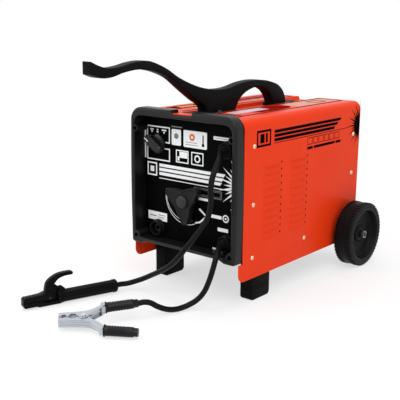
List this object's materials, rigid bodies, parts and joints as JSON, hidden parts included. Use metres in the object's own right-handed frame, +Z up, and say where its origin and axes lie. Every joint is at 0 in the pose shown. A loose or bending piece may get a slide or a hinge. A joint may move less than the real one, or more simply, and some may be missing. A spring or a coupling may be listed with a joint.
{
  "type": "stick welder",
  "caption": "Wheeled transformer arc welder with a tow handle, louvred cover, recessed control panel, electrode holder and ground clamp on their cables.",
  "frame": {"origin": "on the ground, at the middle of the machine's length and width without its welding cables", "axes": "+X to the machine's right as its user faces the panel, -Y out of the panel, +Z up"},
  "size_m": [0.364, 0.7451, 0.461],
  "materials": {
    "orange_paint": "glossy orange enamel on sheet steel",
    "panel_black": "satin black printed panel",
    "bezel_plastic": "fine-grained dark grey moulding",
    "handle_plastic": "matte black moulding",
    "knob_plastic": "satin black moulding",
    "cap_plastic": "dark grey cap",
    "socket_plastic": "black moulding",
    "tray_steel": "dark grey paint",
    "zinc_steel": "bright zinc plate",
    "foot_rubber": "matte black",
    "wheel_rubber": "matte black, moulded tread",
    "cable_rubber": "matte black sheath",
    "lamination_steel": "blued sheet steel",
    "copper": "bare copper",
    "brass": "turned brass",
    "winding": "varnished copper winding",
    "insulation": "tan insulating board",
    "ivory_plastic": "ivory moulding",
    "fan_plastic": "grey moulding",
    "motor_steel": "dark paint",
    "holder_plastic": "black glass-filled moulding",
    "grip_plastic": "black vinyl grip"
  },
  "bodies": {
    "case": {"cover": "orange_paint", "base_tray": "tray_steel", "rear_panel": "orange_paint", "front_panel": "panel_black", "front_bezel": "bezel_plastic", "bezel_screws": "zinc_steel", "cover_screws": "zinc_steel", "handle": "handle_plastic", "handle_bolts": "zinc_steel", "foot_left": "foot_rubber", "foot_right": "foot_rubber", "foot_bolts": "zinc_steel", "axle": "zinc_steel", "axle_brackets": "tray_steel", "axle_spacers": "zinc_steel", "axle_clips": "zinc_steel", "spindle_bush": "brass", "spindle_bracket": "tray_steel", "shunt_guides": "insulation", "core": "lamination_steel", "core_clamps": "tray_steel", "core_bolts": "zinc_steel", "primary_coil": "winding", "secondary_coil": "winding", "coil_formers": "insulation", "thermal_cutout": "cap_plastic", "fan_motor": "motor_steel", "fan_bracket": "tray_steel", "selector_switch": "ivory_plastic", "sockets": "socket_plastic", "socket_contacts": "brass", "output_bars": "copper", "electrode_plug": "socket_plastic", "ground_plug": "socket_plastic", "mains_gland": "socket_plastic", "gland_nut": "socket_plastic", "terminal_block": "ivory_plastic", "electrode_cable": "cable_rubber", "ground_cable": "cable_rubber", "holder_grip": "holder_plastic", "holder_head": "holder_plastic", "holder_pin": "zinc_steel", "holder_spring": "zinc_steel", "clamp_fixed_arm": "zinc_steel", "clamp_pin": "zinc_steel", "clamp_spring": "zinc_steel", "clamp_fixed_grip": "grip_plastic"},
    "wheel_left": {"wheel_left": "wheel_rubber"},
    "wheel_right": {"wheel_right": "wheel_rubber"},
    "current_control": {"current_knob": "knob_plastic", "knob_cap": "cap_plastic", "spindle": "zinc_steel", "spindle_collar": "zinc_steel"},
    "shunt_carriage": {"shunt": "lamination_steel", "shunt_nut": "brass"},
    "selector": {"selector_knob": "knob_plastic"},
    "fan": {"fan_blade": "fan_plastic"},
    "holder_lever": {"holder_lever": "holder_plastic"},
    "clamp_moving_arm": {"clamp_moving_arm": "zinc_steel", "clamp_moving_grip": "grip_plastic"}
  },
  "joints": [
    {"name": "wheel_left_spin", "type": "hinge", "parent": "case", "child": "wheel_left", "pos_m": [-0.162, 0.28, 0.07], "axis": [1, 0, 0], "continuous": true},
    {"name": "wheel_right_spin", "type": "hinge", "parent": "case", "child": "wheel_right", "pos_m": [0.162, 0.28, 0.07], "axis": [1, 0, 0], "continuous": true},
    {"name": "current_knob_turn", "type": "hinge", "parent": "case", "child": "current_control", "pos_m": [-0.008, -0.1, 0.184], "axis": [0, 1, 0], "range_deg": [-1801, 1801]},
    {"name": "shunt_slide", "type": "slide", "parent": "case", "child": "shunt_carriage", "axis": [0, 1, 0], "range_m": [-0.03, 0.03]},
    {"name": "selector_turn", "type": "hinge", "parent": "case", "child": "selector", "pos_m": [-0.084, -0.1, 0.288], "axis": [0, 1, 0], "range_deg": [0, 90]},
    {"name": "fan_spin", "type": "hinge", "parent": "case", "child": "fan", "pos_m": [0, 0.2555, 0.225], "axis": [0, 1, 0], "continuous": true},
    {"name": "holder_lever_open", "type": "hinge", "parent": "case", "child": "holder_lever", "pos_m": [-0.15582, -0.32274, 0.016], "axis": [-0.9489, 0.3156, 0], "range_deg": [0, 14], "stiffness_Nm_per_rad": 0.4, "springref_deg": -22.92},
    {"name": "clamp_open", "type": "hinge", "parent": "case", "child": "clamp_moving_arm", "pos_m": [-0.019, -0.357, 0.017], "axis": [0.0974, -0.1237, 0.9875], "range_deg": [0, 30], "stiffness_Nm_per_rad": 0.8, "springref_deg": -28.65}
  ],
  "couplings": [
    {"joint": "current_knob_turn", "follows": "shunt_slide", "rad_per_m": -1047.2}
  ]
}
